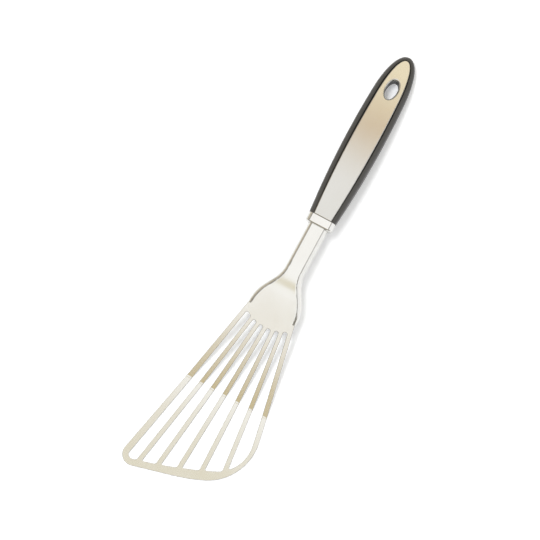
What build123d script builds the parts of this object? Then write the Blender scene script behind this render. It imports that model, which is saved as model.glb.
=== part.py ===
from build123d import *
from math import acos, atan2, cos, degrees, hypot, radians, sin, sqrt, tan
import os

# Fish spatula lying face up on a table, in millimetres.
# +Y runs along the tool to the hanging end of the handle, +X to its right, +Z up.
# The origin is on the table under the middle of the front bar, below the handle's centre line.
# Plan sizes of the blade are measured from its crease, and the whole tool is moved at the end.

# Sheet and side view
sheet_thickness = 1.2
edge_rounding = 0.35
rise_angle = 12.5
crease_radius = 7.0
crease_to_neck = 91.0
palm_length = 26.8
neck_bend_radius = 80.0
crease_to_rest_point = 58.0

# Shank: an inverted channel pressed from the sheet, its width across the flanges' lower edges
shank_width = 14.6
shank_depth = 7.5
shank_bend_radius = 2.8
flange_angle = 8.0
shank_length = 39.1
flange_end_depth = 4.2
flange_end_length = 2.8

# Palm, seen from above
neck_corner_past_neck = 0.8
neck_corner_radius = 21.0
shoulder_half_width = 17.5
shoulder_side_length = 9.0
shoulder_radius = 29.0
shoulder_foot_radius = 12.0

# Blade outline, sharp corners before rounding
left_corner_out = 49.0
left_corner_past_front_edge = 13.3
left_corner_radius = 7.8
right_corner_out = 38.4
right_corner_ahead = 45.6
right_corner_radius = 37.0
front_edge_past_right_corner = 16.2
front_edge_radius = 130.0
side_in_use_share = 0.995

# Slots and tines
inner_tines = 5
outer_tine_from_shoulder = 6.4
tine_top_offset = 0.45
tine_top_width = 2.9
tine_front_width = 3.6
tine_crease_shares = (0.181, 0.320, 0.469, 0.629, 0.794)
edge_tine_top_width = 3.3
left_tine_front_width = 5.0
right_tine_front_width = 3.9
slot_end_below_shoulder = 5.6
slot_arch_rise = 4.3
front_bar_left = 5.0
front_bar_middle = 7.2
front_bar_right = 9.5
slot_left_corner_radius = 3.0
slot_right_corner_radius = 25.0
slot_top_radius = 1.25
slot_top_share = 0.475
slot_near_radius = 0.8
slot_far_radius = 1.9

# Tang inside the handle
tang_width = 8.8
tang_end_to_hang_hole = 25.6
tang_end_radius = 3.0
key_hole_radius = 2.2
first_key_hole = 26.0
last_key_hole_to_end = 18.0

# Handle, in its own frame from the ferrule's front face
ferrule_length = 6.0
grip_length = 123.6
grip_half_width = 12.65
widest_from_end = 60.0
front_half_width = 9.7
nose_length = 30.0
nose_half_width = 11.95
nose_side_share = 0.55
nose_tip_share = 0.60
handle_thickness = 16.2
thickest_from_end = 81.6
crown_radius = 760.0
grip_edge_radius = 3.6
band_wall = 3.0

# Cover plates
cover_side_inset = 3.8
cover_end_inset = 3.2
cover_depth = 1.5
cover_wall = 0.8
cover_edge_radius = 0.7

# Hang hole, the rims that the covers turn into it and the sleeve between them
hole_half_width = 3.95
hole_half_length = 7.05
hole_from_end = 26.0
liner_wall = 1.4
hole_rim_radius = 1.2

# Ferrule
ferrule_wall = 1.0
ferrule_front_wall = 1.2
ferrule_front_rounding = 1.1

# Fits and cutting allowance
bond_gap = 0.1
overrun = 5.0
same_place = 0.01
smooth_angle = 165.0
level_share = 0.9

handle_length = ferrule_length + grip_length
thickest_from_front = handle_length - thickest_from_end
tang_length = handle_length - hole_from_end - tang_end_to_hang_hole
half_sheet = sheet_thickness / 2
rise = radians(rise_angle)
shoulder_from_crease = crease_to_neck - palm_length
shoulder_top_from_crease = shoulder_from_crease + shoulder_side_length
neck_corner_from_crease = crease_to_neck + neck_corner_past_neck
slot_arch_end = shoulder_from_crease - slot_end_below_shoulder
slot_arch_middle = slot_arch_end - slot_arch_rise
front_edge_ahead = right_corner_ahead + front_edge_past_right_corner
left_corner_ahead = front_edge_ahead + left_corner_past_front_edge
tine_top_pitch = (shoulder_half_width - outer_tine_from_shoulder) / (inner_tines - 1) * 2
slot_top_gap = tine_top_pitch - tine_top_width
neck_height = sheet_thickness + crease_to_neck * tan(rise)
shoulder_height = sheet_thickness + shoulder_from_crease * tan(rise)
slant = radians(flange_angle)

# The handle slopes down until its arched underside touches the table
arch_ahead = shank_length + thickest_from_front
arch_above = crown_radius - handle_thickness / 2 - shank_depth / 2
slope = acos((crown_radius - neck_height) / hypot(arch_ahead, arch_above)) - atan2(arch_ahead, arch_above)
print("handle slope in degrees", round(degrees(slope), 2))

ferrule_front_y = crease_to_neck + shank_length * cos(slope) - shank_depth / 2 * sin(slope)
ferrule_front_z = neck_height - shank_length * sin(slope) - shank_depth / 2 * cos(slope)
bend_sagitta = neck_bend_radius * (1 / cos((rise + slope) / 2) - 1)

# Half the shank's width at the shoulders' height, where the outline is drawn
flange_low = neck_height - (neck_corner_from_crease - crease_to_neck) * tan(slope) - shank_depth / cos(slope)
half_shank = shank_width / 2 - (shoulder_height - flange_low) * tan(slant)

handle_place = Pos(0, ferrule_front_y, ferrule_front_z) * Rot(-degrees(slope), 0, 0)
tool_place = Pos(0, crease_to_rest_point, 0)


def side_line(depth, extra=0):
    """Side view of the sheet's top face, or of a line that runs depth below it, in the YZ plane."""
    level = Vector(0, 1)
    risen = Vector(-sin(rise), cos(rise))
    fallen = Vector(sin(slope), cos(slope))
    start = Vector(-left_corner_ahead - overrun, sheet_thickness - depth)
    crease = Vector(0, sheet_thickness) - (level + risen) * (depth / (1 + level.dot(risen)))
    neck = Vector(crease_to_neck, neck_height) - (risen + fallen) * (depth / (1 + risen.dot(fallen)))
    reach = shank_length + ferrule_front_wall + extra
    end = Vector(crease_to_neck, neck_height) + Vector(cos(slope), -sin(slope)) * reach - fallen * depth
    radii = (crease_radius + depth, neck_bend_radius - depth)
    return FilletPolyline(start, crease, neck, end, radius=radii)


def side_prism(upper, lower, extra=0):
    """The space between two side lines, as wide as any part of the blade."""
    top = side_line(upper, extra)
    bottom = side_line(lower, extra)
    face = make_face([top, bottom, Line(top @ 0, bottom @ 0), Line(top @ 1, bottom @ 1)])
    return extrude(Plane.YZ * face, amount=left_corner_out + overrun, both=True)


def fitted_radii(points, wanted):
    """Corner radii made smaller where two neighbouring arcs would not fit on the side between them."""
    places = [Vector(*point) for point in points]
    sides = [after - before for before, after in zip(places, places[1:])]
    turns = [radians(before.get_angle(after)) for before, after in zip(sides, sides[1:])]
    used = [0] + [radius * tan(turn / 2) for radius, turn in zip(wanted, turns)] + [0]
    room = [side.length * side_in_use_share / (a + b) for side, a, b in zip(sides, used, used[1:])]
    return [radius * min(1, before, after) for radius, before, after in zip(wanted, room, room[1:])]


def blade_outline():
    """The whole sheet seen from above, its folded part as wide as it is at the shoulders' height."""
    shank_end = crease_to_neck + shank_length + overrun + overrun
    drop = (shank_end - neck_corner_from_crease) * tan(slope)
    half_side = [
        (half_shank - drop * tan(slant), shank_end),
        (half_shank, neck_corner_from_crease),
        (shoulder_half_width, shoulder_top_from_crease),
        (shoulder_half_width, shoulder_from_crease),
    ]
    front = [
        (right_corner_out, -right_corner_ahead),
        (0, -front_edge_ahead),
        (-left_corner_out, -left_corner_ahead),
    ]
    points = half_side + front + [(-x, y) for x, y in reversed(half_side)]
    side_radii = [neck_corner_radius, shoulder_radius, shoulder_foot_radius]
    front_radii = [right_corner_radius, front_edge_radius, left_corner_radius]
    radii = fitted_radii(points, side_radii + front_radii + side_radii[::-1])
    edge = FilletPolyline(*points, radius=radii)
    return make_face([edge, Line(edge @ 0, edge @ 1)])


def crease_edge(side):
    """Where the blade's straight edge crosses the crease, side being 1 on the right and -1 on the left."""
    out = right_corner_out if side > 0 else left_corner_out
    ahead = right_corner_ahead if side > 0 else left_corner_ahead
    spread = (out - shoulder_half_width) / (ahead + shoulder_from_crease)
    return side * (shoulder_half_width + spread * shoulder_from_crease)


def tine(index):
    """One inner tine, a straight bar that widens a little from the palm to the front bar."""
    top_x = tine_top_offset + tine_top_pitch * (index - (inner_tines - 1) / 2)
    left = crease_edge(-1)
    crease_x = left + (crease_edge(1) - left) * tine_crease_shares[index]
    lean = (top_x - crease_x) / slot_arch_middle
    top_y = slot_arch_end + overrun
    front_y = -left_corner_ahead
    return make_face(
        Polyline(
            (crease_x + lean * top_y - tine_top_width / 2, top_y),
            (crease_x + lean * top_y + tine_top_width / 2, top_y),
            (crease_x + lean * front_y + tine_front_width / 2, front_y),
            (crease_x + lean * front_y - tine_front_width / 2, front_y),
            close=True,
        )
    )


def slot_window():
    """The area of all the slots: between the edge tines, the arch at the palm and the front bar."""
    sides = make_face(
        Polyline(
            (edge_tine_top_width - shoulder_half_width, shoulder_from_crease),
            (shoulder_half_width - edge_tine_top_width, shoulder_from_crease),
            (right_corner_out - right_tine_front_width, -right_corner_ahead),
            (left_tine_front_width - left_corner_out, -left_corner_ahead),
            close=True,
        )
    )
    arch = ThreePointArc(
        (-shoulder_half_width, slot_arch_end + slot_top_radius),
        (0, slot_arch_middle),
        (shoulder_half_width, slot_arch_end + slot_top_radius),
    )
    bar = ThreePointArc(
        (-left_corner_out, front_bar_left - left_corner_ahead),
        (0, front_bar_middle - front_edge_ahead),
        (right_corner_out, front_bar_right - right_corner_ahead),
    )
    between = make_face([arch, bar, Line(arch @ 0, bar @ 0), Line(arch @ 1, bar @ 1)])
    window = sides & between
    corners = window.vertices().sort_by(Axis.Y)
    low_left, low_right = corners[0], corners[1]
    window = fillet(low_right, slot_right_corner_radius)
    low_left = window.vertices().sort_by(Axis.Y)[0]
    return fillet(low_left, slot_left_corner_radius)


def sharp_corners(face):
    """The corners where a face's outline turns sharply, which leaves out its smooth joints."""
    corners = []
    for vertex in face.vertices():
        place = Vector(vertex.X, vertex.Y, vertex.Z)
        leaving = [edge % 0 for edge in face.edges() if (edge @ 0 - place).length < same_place]
        leaving += [(edge % 1) * -1 for edge in face.edges() if (edge @ 1 - place).length < same_place]
        if leaving[0].get_angle(leaving[1]) < smooth_angle:
            corners.append(vertex)
    return corners


def all_slots():
    """The slots, rounded full at the palm, wide at the right of the front bar and tight at its left."""
    slots = slot_window() - [tine(index) for index in range(inner_tines)]
    top = [corner for slot in slots.faces() for corner in sharp_corners(slot) if corner.Y > 0]
    slots = fillet(top, min(slot_top_radius, slot_top_gap * slot_top_share))
    right_corners = [
        max(sharp_corners(slot), key=lambda corner: corner.X) for slot in slots.faces().sort_by(Axis.X)[:-1]
    ]
    slots = fillet(right_corners, slot_far_radius)
    left_corners = [corner for slot in slots.faces() for corner in sharp_corners(slot)]
    return fillet(left_corners, slot_near_radius)


def upright(plan):
    """A plan carried up through the whole height of the blade."""
    return Pos(0, 0, -overrun) * extrude(plan, amount=neck_height + overrun + overrun, dir=(0, 0, 1))


def free_edges(sheet, side):
    """The cut edges round the blade and its slots, on its top face for side 1 or its underside for -1."""
    faces = [face for face in sheet.faces() if face.normal_at().Z * side > level_share]
    edges = [edge for face in faces for edge in face.edges()]
    middles = [edge @ 0.5 for edge in edges]
    free = []
    for edge, middle in zip(edges, middles):
        shared = [other for other in middles if (other - middle).length < same_place]
        if len(shared) == 1 and middle.Y < shoulder_from_crease - same_place:
            free.append(edge)
    return free


def flat_sheet():
    """The slotted blade and the palm up to the shoulders, bent at the crease, with its edges polished."""
    sheet = upright(blade_outline() - all_slots()) & side_prism(0, sheet_thickness)
    sheet = split(sheet, Plane.XZ.offset(-shoulder_from_crease), keep=Keep.TOP)
    return fillet(free_edges(sheet, 1) + free_edges(sheet, -1), edge_rounding)


def slanted(plan):
    """A plan at the shoulders' height carried down and up, narrowing upwards as the flanges lean."""
    spread = offset(plan, shank_depth * tan(slant))
    low = shoulder_height - shank_depth
    height = neck_height + overrun - low
    return Pos(0, 0, low) * extrude(spread, amount=height, dir=(0, 0, 1), taper=flange_angle)


def folded_block(plan, depth, bend_radius, extra=0):
    """The space under the palm and shank, its long top edges rounded over."""
    block = slanted(plan) & side_prism(depth, shank_depth + extra, extra)
    block = split(block, Plane.XZ.offset(-shoulder_from_crease), keep=Keep.BOTTOM)
    top_faces = [face for face in block.faces() if face.normal_at().Z > level_share]
    edges = [edge for face in top_faces for edge in face.edges()]
    long_edges = [edge for edge in edges if abs((edge @ 0.5).X) > shank_width / 4]
    return fillet(long_edges, bend_radius)


def run_out():
    """What is cut from under the palm, so that its flanges grow from nothing at the shoulders."""
    past_end = shoulder_from_crease + flange_end_length
    top_of_end = sheet_thickness + past_end * tan(rise)
    full_depth = neck_height - shank_depth
    face = make_face(
        Polyline(
            (shoulder_from_crease - overrun, shoulder_height - sheet_thickness - overrun * tan(rise)),
            (shoulder_from_crease, shoulder_height - sheet_thickness),
            (past_end, top_of_end - flange_end_depth),
            (crease_to_neck, full_depth - bend_sagitta),
            (crease_to_neck, -overrun),
            (shoulder_from_crease - overrun, -overrun),
            close=True,
        )
    )
    return extrude(Plane.YZ * face, amount=left_corner_out, both=True)


def folded_palm():
    """The palm and the shank, whose long edges are folded down into an inverted channel."""
    outer = folded_block(blade_outline(), 0, shank_bend_radius)
    inset = offset(blade_outline(), -sheet_thickness / cos(slant))
    inner = folded_block(inset, sheet_thickness, shank_bend_radius - sheet_thickness, overrun)
    return outer - inner - run_out()


def tang(grown=0):
    """The flat end of the sheet inside the handle, in the handle's frame, grown for its seat in the core."""
    start_y = ferrule_front_wall - half_sheet - grown
    length = tang_length - start_y + grown
    plan = Pos(0, start_y + length / 2) * RectangleRounded(
        tang_width + grown + grown, length, tang_end_radius
    )
    for place in (first_key_hole, tang_length - last_key_hole_to_end):
        plan -= Pos(0, place) * Circle(key_hole_radius - grown)
    top = shank_depth / 2 + grown
    return Pos(0, 0, top) * extrude(plan, amount=-sheet_thickness - grown - grown)


def stamped_blade():
    """One sheet: tines, front bar, palm, channelled shank and tang."""
    return flat_sheet() + folded_palm() + handle_place * tang()


def half_height(y, depth):
    """Height above the handle's middle plane of the arch that runs depth below its top face."""
    radius = crown_radius - depth
    return handle_thickness / 2 - crown_radius + sqrt(radius**2 - (y - thickest_from_front) ** 2)


def arch(depth, side):
    """The handle's lengthwise arch at a depth below its face, side being 1 on top and -1 beneath."""
    stations = (-overrun, thickest_from_front, handle_length + overrun)
    return ThreePointArc(*[(y, side * half_height(y, depth)) for y in stations])


def layer(upper, lower):
    """The space between two arches, as wide as the handle."""
    face = make_face([upper, lower, Line(upper @ 0, lower @ 0), Line(upper @ 1, lower @ 1)])
    return extrude(Plane.YZ * face, amount=grip_half_width + overrun, both=True)


def handle_plan(side_inset, end_inset, front_y):
    """The handle seen from above, inset from its sides and its hanging end, as a solid upright prism."""
    nose_y = handle_length - nose_length
    tip_y = handle_length - end_inset
    nose_x = nose_half_width - side_inset
    flank = ThreePointArc(
        (front_half_width - end_inset, ferrule_length),
        (grip_half_width - side_inset, handle_length - widest_from_end),
        (nose_x, nose_y),
    )
    onward = flank % 1
    nose = Bezier(
        flank @ 1,
        flank @ 1 + onward * (tip_y - nose_y) * nose_side_share,
        (nose_x * nose_tip_share, tip_y),
        (0, tip_y),
    )
    half = [flank, nose, Line(nose @ 1, (0, ferrule_length)), Line((0, ferrule_length), flank @ 0)]
    half_face = make_face(half)
    plan = half_face + mirror(half_face, about=Plane.YZ)
    trimmed = plan & Pos(0, front_y + handle_length) * Rectangle(handle_length, handle_length * 2)
    return Pos(0, 0, -handle_thickness) * extrude(trimmed, amount=handle_thickness * 2, dir=(0, 0, 1))


def outline_edges(solid, level, front_y):
    """The long curved edges of a handle piece's top or bottom face, without its straight front edge."""
    faces = [face for face in solid.faces() if face.normal_at().Z * level > level_share]
    return [edge for face in faces for edge in face.edges() if (edge @ 0.5).Y > front_y + same_place]


def grip_solid():
    """The outside of the whole grip, with its edges rounded."""
    solid = handle_plan(0, 0, ferrule_length) & layer(arch(0, 1), arch(0, -1))
    edges = outline_edges(solid, 1, ferrule_length) + outline_edges(solid, -1, ferrule_length)
    return fillet(edges, grip_edge_radius)


def oval_prism(grown):
    """The hang hole carried through the handle, grown all round."""
    plan = Pos(0, handle_length - hole_from_end) * Ellipse(hole_half_width + grown, hole_half_length + grown)
    return Pos(0, 0, -handle_thickness) * extrude(plan, amount=handle_thickness * 2, dir=(0, 0, 1))


def grip_band():
    """The soft band round both sides and the hanging end, with a gap in front for the ferrule."""
    return grip_solid() - handle_plan(band_wall, band_wall, -overrun)


def cover():
    """A pressed cover plate, a shallow pan whose rounded rim stands on the core and lines the hang hole."""
    front_y = ferrule_length + bond_gap
    plate = handle_plan(cover_side_inset, cover_end_inset, front_y) & layer(arch(0, 1), arch(cover_depth, 1))
    faces = [face for face in plate.faces() if face.normal_at().Z > level_share]
    plate = fillet(faces[0].edges(), cover_edge_radius)
    hollow = handle_plan(cover_side_inset + cover_wall, cover_end_inset + cover_wall, front_y + cover_wall)
    hollow &= layer(arch(cover_wall, 1), arch(cover_depth + overrun, 1))
    plate -= hollow - oval_prism(liner_wall)
    plate -= oval_prism(0)
    faces = [face for face in plate.faces() if face.normal_at().Z > level_share]
    mouth = [edge for face in faces for wire in face.inner_wires() for edge in wire.edges()]
    return fillet(mouth, hole_rim_radius)


def hang_hole_liner():
    """The sleeve through the hang hole, between the rims of the two covers."""
    depth = cover_depth + bond_gap
    return (oval_prism(liner_wall) - oval_prism(0)) & layer(arch(depth, 1), arch(depth, -1))


def section(width, height, radius, start_y, end_y):
    """A rounded bar along the handle's front end, between two distances from the ferrule's front face."""
    plan = Plane.XZ * RectangleRounded(width, height, radius)
    return Pos(0, start_y, 0) * extrude(plan, amount=end_y - start_y, dir=(0, 1, 0))


def shank_opening():
    """The cut for the channel of the shank, as slanted and rounded as its outside and a fit wider."""
    top = shank_depth / 2 + bond_gap
    low = -shank_depth / 2 - bond_gap
    half_low = shank_width / 2 + bond_gap / cos(slant) + bond_gap * tan(slant)
    half_top = half_low - (top - low) * tan(slant)
    corners = [(-half_low, low), (-half_top, top), (half_top, top), (half_low, low)]
    face = make_face(Polyline(*corners, close=True))
    face = fillet(face.vertices().sort_by(Axis.Y)[-2:], shank_bend_radius + bond_gap)
    return Pos(0, -overrun, 0) * extrude(Plane.XZ * face, amount=overrun * 3, dir=(0, 1, 0))


def ferrule():
    """The collar: a hollow cap, rounded over in front, with an opening for the channel of the shank."""
    width = front_half_width * 2
    height = half_height(ferrule_length, 0) * 2
    radius = grip_edge_radius
    collar = section(width, height, radius, 0, ferrule_length)
    front = collar.faces().sort_by(Axis.Y)[0]
    collar = fillet(front.edges(), ferrule_front_rounding)
    wall = ferrule_wall * 2
    hollow = section(
        width - wall, height - wall, radius - ferrule_wall, ferrule_front_wall, ferrule_length + overrun
    )
    return collar - hollow - shank_opening()


def handle_core():
    """The moulded core: a body between the covers, a spigot in the ferrule and seats for what it holds."""
    inset = band_wall + bond_gap
    body = handle_plan(inset, inset, ferrule_length) & layer(arch(cover_depth, 1), arch(cover_depth, -1))
    land_inset = cover_wall + bond_gap
    land_plan = handle_plan(
        cover_side_inset + land_inset, cover_end_inset + land_inset, ferrule_length + land_inset + bond_gap
    )
    body += land_plan & layer(arch(land_inset, 1), arch(land_inset, -1))
    spigot_trim = (ferrule_wall + bond_gap) * 2
    spigot = section(
        front_half_width * 2 - spigot_trim,
        half_height(ferrule_length, 0) * 2 - spigot_trim,
        grip_edge_radius - spigot_trim / 2,
        ferrule_front_wall + bond_gap,
        ferrule_length,
    )
    return body + spigot - tang(bond_gap) - oval_prism(liner_wall + bond_gap)


def all_pieces():
    """Every piece in the tool's own frame, by the name of its node."""
    front_cover = cover()
    handle = {
        "ferrule": ferrule(),
        "handle_core": handle_core(),
        "grip_band": grip_band(),
        "front_cover": front_cover,
        "rear_cover": mirror(front_cover, about=Plane.XY),
        "hang_hole_liner": hang_hole_liner(),
    }
    placed = {name: tool_place * handle_place * piece for name, piece in handle.items()}
    return {"stamped_blade": tool_place * stamped_blade(), **placed}


os.makedirs("parts", exist_ok=True)
for name, piece in all_pieces().items():
    solid = piece.solids()[0]
    print(name, len(piece.solids()), "solid", round(piece.volume, 1), "mm3", piece.is_valid)
    solid.label = name
    export_step(solid, f"parts/{name}.step")
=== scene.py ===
from math import pi, radians

import bpy
from mathutils import Euler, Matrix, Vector

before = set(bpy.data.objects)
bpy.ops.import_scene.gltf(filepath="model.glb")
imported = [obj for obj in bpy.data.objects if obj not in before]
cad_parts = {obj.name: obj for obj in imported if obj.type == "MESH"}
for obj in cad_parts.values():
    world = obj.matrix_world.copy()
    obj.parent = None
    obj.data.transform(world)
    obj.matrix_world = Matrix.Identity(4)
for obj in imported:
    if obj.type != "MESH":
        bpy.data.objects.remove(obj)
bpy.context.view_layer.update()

# Fish spatula lying face up on a white table: looks only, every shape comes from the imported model.
# Lengths are metres in the model's frame, +Y to the hanging end, +Z up. Sizes named ...Mm are millimetres.

scene = bpy.context.scene
millimetre = 0.001


def linearColour(hexColour):
    # each sRGB channel undone by the standard curve
    channels = [int(hexColour[i:i + 2], 16) / 255 for i in (1, 3, 5)]
    return [c / 12.92 if c <= 0.04045 else ((c + 0.055) / 1.055) ** 2.4 for c in channels] + [1.0]


def addNode(tree, kind, settings=None, inputs=None, links=None):
    # one node: its settings, its socket values and the sockets that feed it
    node = tree.nodes.new(kind)
    for name, value in (settings or {}).items():
        setattr(node, name, value)
    for name, value in (inputs or {}).items():
        node.inputs[name].default_value = value
    for name, source in (links or {}).items():
        tree.links.new(source, node.inputs[name])
    return node


def newMaterial(name):
    material = bpy.data.materials.new(name)
    material.use_nodes = True
    material.node_tree.nodes.clear()
    return material


def perMetre(sizeMm):
    # the scale that makes one feature of a noise this large
    return 1 / (sizeMm * millimetre)


noiseLow = 0.3                     # nearly all values of a noise lie between these two
noiseHigh = 0.7
reliefHeight = 0.1 * millimetre    # height of a grain or pebble at bump strength 1


def spreadRound(middle, spread):
    # what a Map Range node needs to turn a noise into values from middle - spread to middle + spread
    return {
        "From Min": noiseLow,
        "From Max": noiseHigh,
        "To Min": middle - spread,
        "To Max": middle + spread,
    }


# Steel

bladeSteel = {
    "colour": "#DAD9D4",
    "roughness": 0.17,
    "grainWidthMm": 0.45,
    "grainLengthMm": 14.0,
    "grainDepth": 0.025,
    "grainSpread": 0.02,
    "cloudSizeMm": 26.0,
    "cloudSpread": 0.03,
}

plateSteel = {
    "colour": "#CAC9C4",
    "roughness": 0.22,
    "grainWidthMm": 0.40,
    "grainLengthMm": 18.0,
    "grainDepth": 0.025,
    "grainSpread": 0.02,
    "cloudSizeMm": 30.0,
    "cloudSpread": 0.03,
}

collarSteel = {
    "colour": "#DCDBD7",
    "roughness": 0.20,
    "grainWidthMm": 0.40,
    "grainLengthMm": 9.0,
    "grainDepth": 0.03,
    "grainSpread": 0.02,
    "cloudSizeMm": 12.0,
    "cloudSpread": 0.03,
}


def brushedStainless(name, steel):
    # 18/10 stainless sheet, belt-brushed along the tool and then polished to a satin: a soft mirror
    # broken by lengthwise scratches, with faint cloudy patches where the belt pressed harder.
    # Real scratches are about 0.05 mm wide; they are drawn wider, as wide as they need to show.
    material = newMaterial(name)
    tree = material.node_tree
    place = addNode(tree, "ShaderNodeTexCoord").outputs["Object"]
    across = perMetre(steel["grainWidthMm"])
    along = perMetre(steel["grainLengthMm"])
    stretched = addNode(
        tree, "ShaderNodeVectorMath", {"operation": "MULTIPLY"}, {1: (across, along, across)}, {0: place},
    )
    grain = addNode(
        tree, "ShaderNodeTexNoise",
        inputs={"Scale": 1.0, "Detail": 3.0, "Roughness": 0.6},
        links={"Vector": stretched.outputs[0]},
    )
    cloud = addNode(
        tree, "ShaderNodeTexNoise",
        inputs={"Scale": perMetre(steel["cloudSizeMm"]), "Detail": 2.0, "Roughness": 0.5},
        links={"Vector": place},
    )
    grainRough = addNode(
        tree, "ShaderNodeMapRange",
        inputs=spreadRound(0, steel["grainSpread"]),
        links={"Value": grain.outputs["Fac"]},
    )
    cloudRough = addNode(
        tree, "ShaderNodeMapRange",
        inputs=spreadRound(steel["roughness"], steel["cloudSpread"]),
        links={"Value": cloud.outputs["Fac"]},
    )
    rough = addNode(
        tree, "ShaderNodeMath", {"operation": "ADD"},
        links={0: cloudRough.outputs["Result"], 1: grainRough.outputs["Result"]},
    )
    bump = addNode(
        tree, "ShaderNodeBump",
        inputs={"Strength": steel["grainDepth"], "Distance": reliefHeight},
        links={"Height": grain.outputs["Fac"]},
    )
    shader = addNode(
        tree, "ShaderNodeBsdfPrincipled",
        inputs={"Base Color": linearColour(steel["colour"]), "Metallic": 1.0},
        links={"Roughness": rough.outputs[0], "Normal": bump.outputs["Normal"]},
    )
    addNode(tree, "ShaderNodeOutputMaterial", links={"Surface": shader.outputs["BSDF"]})
    return material


# Grip and core

gripRubber = {
    "colour": "#454442",
    "roughness": 0.50,
    "pebbleMm": 0.35,
    "pebbleDepth": 0.10,
    "rubSizeMm": 22.0,
    "rubSpread": 0.07,
}

corePlastic = {
    "colour": "#0D0D0D",
    "roughness": 0.60,
    "flowMm": 6.0,
    "flowSpread": 0.05,
}


def mouldedRubber(name, rubber):
    # thermoplastic rubber moulded in a fine-blasted tool: dull, with a pebble too fine to see one by one
    # and slightly shinier patches where fingers rub it
    material = newMaterial(name)
    tree = material.node_tree
    place = addNode(tree, "ShaderNodeTexCoord").outputs["Object"]
    pebble = addNode(
        tree, "ShaderNodeTexNoise",
        inputs={"Scale": perMetre(rubber["pebbleMm"]), "Detail": 2.0, "Roughness": 0.5},
        links={"Vector": place},
    )
    rub = addNode(
        tree, "ShaderNodeTexNoise",
        inputs={"Scale": perMetre(rubber["rubSizeMm"]), "Detail": 1.0, "Roughness": 0.5},
        links={"Vector": place},
    )
    rough = addNode(
        tree, "ShaderNodeMapRange",
        inputs=spreadRound(rubber["roughness"], rubber["rubSpread"]),
        links={"Value": rub.outputs["Fac"]},
    )
    bump = addNode(
        tree, "ShaderNodeBump",
        inputs={"Strength": rubber["pebbleDepth"], "Distance": reliefHeight},
        links={"Height": pebble.outputs["Fac"]},
    )
    shader = addNode(
        tree, "ShaderNodeBsdfPrincipled",
        inputs={"Base Color": linearColour(rubber["colour"]), "Metallic": 0.0},
        links={"Roughness": rough.outputs["Result"], "Normal": bump.outputs["Normal"]},
    )
    addNode(tree, "ShaderNodeOutputMaterial", links={"Surface": shader.outputs["BSDF"]})
    return material


def mouldedPlastic(name, plastic):
    # glass-filled nylon as moulded, seen only in the seams: near black with faint flow marks
    material = newMaterial(name)
    tree = material.node_tree
    place = addNode(tree, "ShaderNodeTexCoord").outputs["Object"]
    flow = addNode(
        tree, "ShaderNodeTexNoise",
        inputs={"Scale": perMetre(plastic["flowMm"]), "Detail": 2.0},
        links={"Vector": place},
    )
    rough = addNode(
        tree, "ShaderNodeMapRange",
        inputs=spreadRound(plastic["roughness"], plastic["flowSpread"]),
        links={"Value": flow.outputs["Fac"]},
    )
    shader = addNode(
        tree, "ShaderNodeBsdfPrincipled",
        inputs={"Base Color": linearColour(plastic["colour"]), "Metallic": 0.0},
        links={"Roughness": rough.outputs["Result"]},
    )
    addNode(tree, "ShaderNodeOutputMaterial", links={"Surface": shader.outputs["BSDF"]})
    return material


finishes = {
    "stamped_blade": brushedStainless("brushedStainlessBlade", bladeSteel),
    "ferrule": brushedStainless("brushedStainlessCollar", collarSteel),
    "front_cover": brushedStainless("brushedStainlessPlate", plateSteel),
    "grip_band": mouldedRubber("mouldedRubberGrip", gripRubber),
    "hang_hole_liner": mouldedRubber("mouldedRubberSleeve", gripRubber),
    "handle_core": mouldedPlastic("mouldedNylonCore", corePlastic),
}
finishes["rear_cover"] = finishes["front_cover"]

for nodeName, finish in finishes.items():
    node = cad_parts[nodeName]
    for slot in node.material_slots:
        slot.material = finish
    print("finish:", nodeName, finish.name, "on", len(node.data.polygons), "triangles")


# Table

tableTop = {
    "colour": "#F0F3F8",
    "width": 6.0,
    "lift": 0.22,     # how much white the background adds, so that it reads as paper white
}


def levelSheet(name, place, width, depth, material, up=1):
    # a level rectangle of the studio, not of the tool: its front faces up, or down where up is -1
    x, y, z = place
    signs = ((-1, -up), (1, -up), (1, up), (-1, up))
    mesh = bpy.data.meshes.new(name)
    mesh.from_pydata([(x + a * width / 2, y + b * depth / 2, z) for a, b in signs], [], [(0, 1, 2, 3)])
    mesh.materials.append(material)
    sheet = bpy.data.objects.new(name, mesh)
    scene.collection.objects.link(sheet)
    return sheet


def whitePaper(table):
    # matt white paper, lifted only for the camera and for what metal and glass show, so that the
    # background reads as white and the paper still takes the tool's shadow
    material = newMaterial("whitePaperSweep")
    tree = material.node_tree
    rays = addNode(tree, "ShaderNodeLightPath")
    seen = addNode(
        tree, "ShaderNodeMath", {"operation": "MAXIMUM"},
        links={0: rays.outputs["Is Camera Ray"], 1: rays.outputs["Is Glossy Ray"]},
    )
    seenOrThrough = addNode(
        tree, "ShaderNodeMath", {"operation": "MAXIMUM"},
        links={0: seen.outputs[0], 1: rays.outputs["Is Transmission Ray"]},
    )
    lift = addNode(
        tree, "ShaderNodeMath", {"operation": "MULTIPLY"}, {1: table["lift"]}, {0: seenOrThrough.outputs[0]},
    )
    glow = addNode(tree, "ShaderNodeEmission", links={"Strength": lift.outputs[0]})
    paper = addNode(tree, "ShaderNodeBsdfDiffuse", inputs={"Color": linearColour(table["colour"])})
    both = addNode(tree, "ShaderNodeAddShader", links={0: paper.outputs[0], 1: glow.outputs[0]})
    addNode(tree, "ShaderNodeOutputMaterial", links={"Surface": both.outputs[0]})
    return material


levelSheet("tableTop", (0, 0, 0), tableTop["width"], tableTop["width"], whitePaper(tableTop))
print("table ready")


# Light

roomAir = {"colour": "#9A968E", "strength": 1.0}

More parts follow.
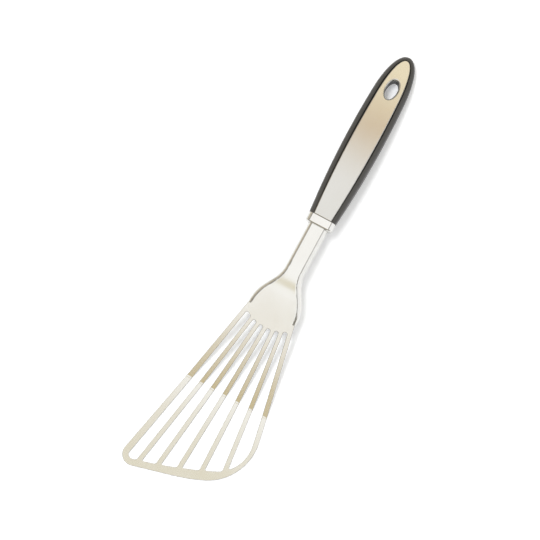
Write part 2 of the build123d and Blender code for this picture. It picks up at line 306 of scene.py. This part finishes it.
# Each lamp: where it hangs, its width across and depth along the tool, its colour, the brightness
# of its face and whether the metal mirrors it. All of them face lightCentre.
lamps = {
    "overheadSoftbox": {
        "place": (0, -0.005, 1.6), "width": 1.5, "depth": 1.55,
        "colour": "#F8FAFF", "face": 1.06, "mirrored": True,
    },
    "shadowLamp": {
        "place": (-0.46, 0.35, 1.58), "width": 0.45, "depth": 0.45,
        "colour": "#FFFDFA", "face": 21.5, "mirrored": False,
    },
    "leftWallCard": {
        "place": (-1.7, 0.15, 0.75), "width": 1.2, "depth": 1.6,
        "colour": "#FFF3DC", "face": 0.40, "mirrored": True,
    },
    "rightWallCard": {
        "place": (1.6, 0.50, 0.72), "width": 1.2, "depth": 1.6,
        "colour": "#F4F7FF", "face": 1.0, "mirrored": True,
    },
    "warmCardHandleEnd": {
        "place": (0, 1.30, 1.35), "width": 1.5, "depth": 0.80,
        "colour": "#FFF1CE", "face": 1.12, "mirrored": True,
    },
}
lightCentre = Vector((0, 0.15, 0))

# Cards that show only as reflections: they light nothing and cast no shadow
cards = {
    "creamCard": {"place": (-0.14, -0.25, 1.5), "width": 0.48, "depth": 0.22, "colour": "#FFF8E2"},
    "tanCardHandleEnd": {"place": (0, 0.850, 1.55), "width": 1.5, "depth": 0.24, "colour": "#FADDB8"},
    "tanCardBladeEnd": {"place": (0, -0.917, 1.42), "width": 1.5, "depth": 0.474, "colour": "#E1CE9C"},
}


def makeWorld(air):
    world = bpy.data.worlds.new("roomAir")
    world.use_nodes = True
    world.node_tree.nodes.clear()
    background = addNode(
        world.node_tree, "ShaderNodeBackground",
        inputs={"Color": linearColour(air["colour"]), "Strength": air["strength"]},
    )
    addNode(world.node_tree, "ShaderNodeOutputWorld", links={"Surface": background.outputs[0]})
    scene.world = world


def makeLamp(name, lamp):
    # a rectangle whose power makes its face exactly as bright as asked: power = pi x area x brightness
    data = bpy.data.lights.new(name, "AREA")
    data.shape = "RECTANGLE"
    data.size = lamp["width"]
    data.size_y = lamp["depth"]
    data.color = linearColour(lamp["colour"])[:3]
    data.energy = pi * lamp["width"] * lamp["depth"] * lamp["face"]
    holder = bpy.data.objects.new(name, data)
    scene.collection.objects.link(holder)
    holder.location = lamp["place"]
    holder.rotation_euler = (holder.location - lightCentre).to_track_quat("Z", "Y").to_euler()
    holder.visible_camera = False
    holder.visible_glossy = lamp["mirrored"]


def makeCard(name, card):
    # a sheet of coloured paper facing down, exactly as bright as its colour
    material = newMaterial(name + "Paper")
    tree = material.node_tree
    glow = addNode(
        tree, "ShaderNodeEmission", inputs={"Color": linearColour(card["colour"]), "Strength": 1.0},
    )
    addNode(tree, "ShaderNodeOutputMaterial", links={"Surface": glow.outputs[0]})
    sheet = levelSheet(name, card["place"], card["width"], card["depth"], material, up=-1)
    sheet.visible_camera = False
    sheet.visible_diffuse = False
    sheet.visible_shadow = False


makeWorld(roomAir)
for lampName, lamp in lamps.items():
    makeLamp(lampName, lamp)
print("lamps ready:", ", ".join(lamps))
for cardName, card in cards.items():
    makeCard(cardName, card)
print("cards ready:", ", ".join(cards))


# Camera, above the middle of the tool and turned so that the tool runs up to the right

camera = {
    "place": (0.058, 0.151, 0.9),
    "turnDegrees": (2.013, 4.245, 28.223),
    "lensMm": 89.06,
    "sensorMm": 36,
    "clipStart": 0.01,
    "clipEnd": 50,
}


def makeCamera(settings):
    data = bpy.data.cameras.new("photoCamera")
    data.sensor_width = settings["sensorMm"]
    data.lens = settings["lensMm"]
    data.clip_start = settings["clipStart"]
    data.clip_end = settings["clipEnd"]
    holder = bpy.data.objects.new("photoCamera", data)
    scene.collection.objects.link(holder)
    holder.location = settings["place"]
    holder.rotation_euler = Euler([radians(a) for a in settings["turnDegrees"]], "XYZ")
    scene.camera = holder


makeCamera(camera)
scene.view_settings.view_transform = "Standard"
print("camera ready")
